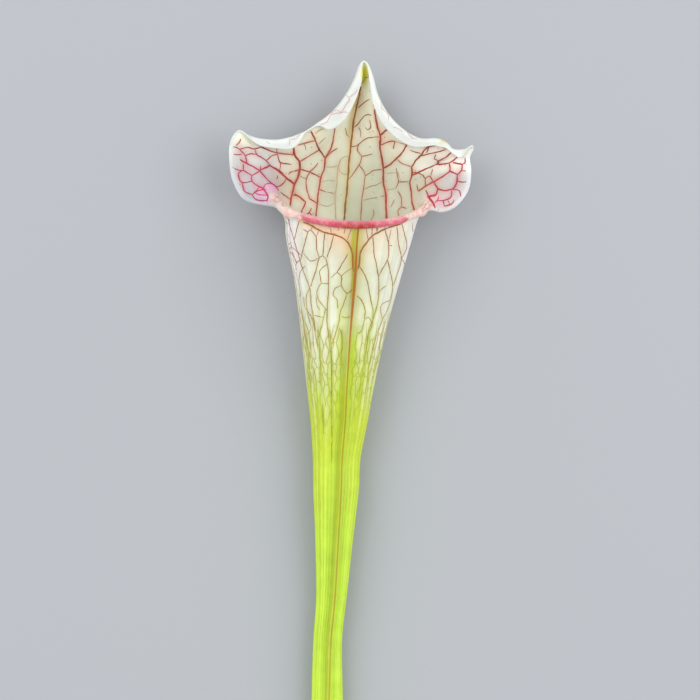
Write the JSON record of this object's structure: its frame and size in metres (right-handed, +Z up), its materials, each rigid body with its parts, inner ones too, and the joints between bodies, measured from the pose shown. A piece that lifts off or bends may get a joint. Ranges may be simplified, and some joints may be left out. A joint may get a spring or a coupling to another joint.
{
  "type": "trumpet pitcher plant",
  "caption": "Picked trumpet pitcher lying on its back: a hollow tapering tube with a front wing, a rolled lip across the mouth, and a pointed hood with net veins and folded side lobes.",
  "frame": {"origin": "on the surface the pitcher lies on, under the middle of its bounding box", "axes": "+Y along the pitcher from the cut stalk to the hood's point, +Z up, which is the way the mouth and the front wing face"},
  "size_m": [0.0859, 0.2802, 0.0403],
  "materials": {
    "leaf": "satin",
    "lip": "satin",
    "veins": "satin"
  },
  "bodies": {
    "root": {"pitcher": "leaf"}
  },
  "joints": []
}
